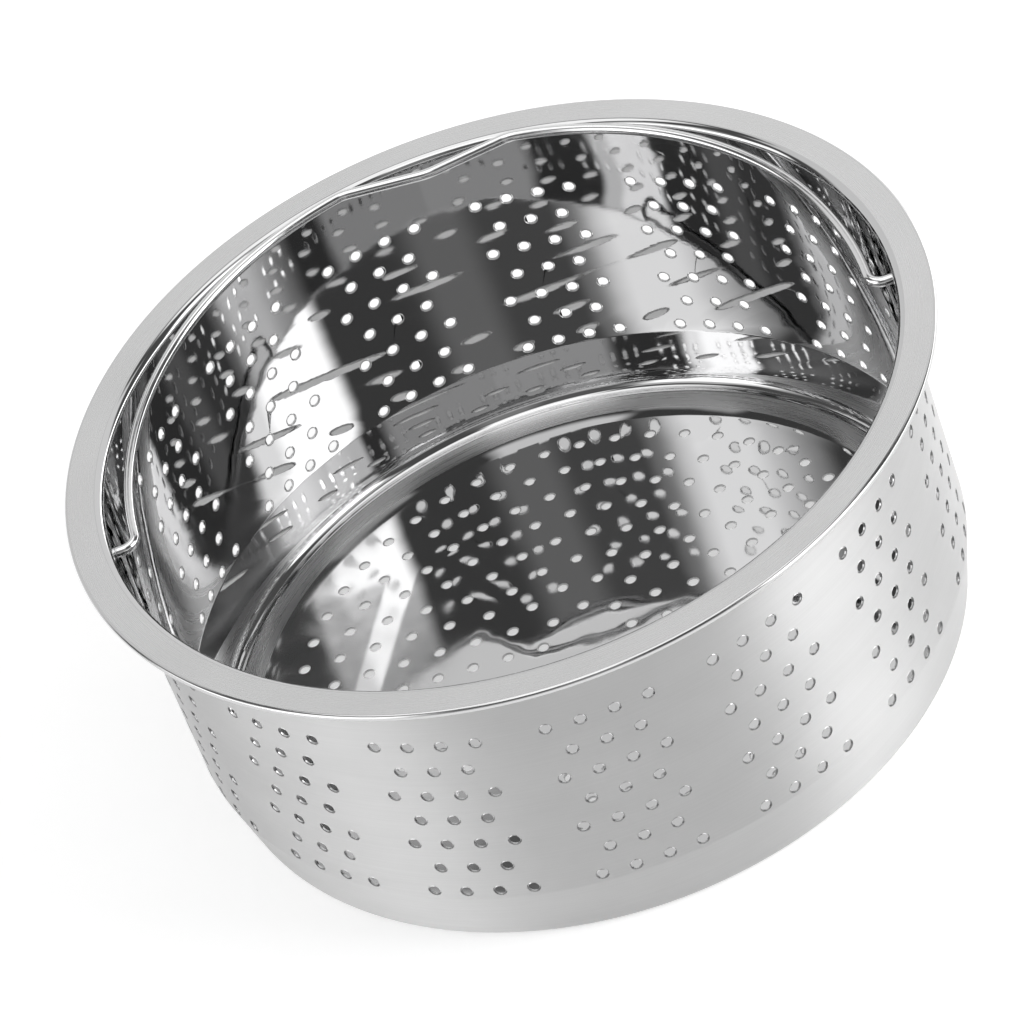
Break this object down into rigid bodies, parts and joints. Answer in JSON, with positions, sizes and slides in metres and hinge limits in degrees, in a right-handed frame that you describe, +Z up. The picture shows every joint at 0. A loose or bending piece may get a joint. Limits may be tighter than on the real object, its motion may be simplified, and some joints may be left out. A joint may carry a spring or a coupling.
{
  "type": "steamer basket",
  "caption": "Round perforated steel steamer basket with a flat flange that hangs on a pot rim and a swinging wire bail to lift it out",
  "frame": {"origin": "on the plane the basket stands on, below the middle of the base", "axes": "+Z up out of the mouth, X along the bail's pivot axis, +Y towards the side the bail lies on at rest"},
  "size_m": [0.2398, 0.2398, 0.0986],
  "materials": {
    "sheet_steel": "brushed outside, polished inside",
    "wire_steel": "polished"
  },
  "bodies": {
    "basket": {"basket_shell": "sheet_steel"},
    "bail": {"wire_bail": "wire_steel"}
  },
  "joints": [
    {"name": "bail_swing", "type": "hinge", "parent": "basket", "child": "bail", "pos_m": [0, 0, 0.088], "axis": [1, 0, 0], "range_deg": [0, 169.9]}
  ]
}
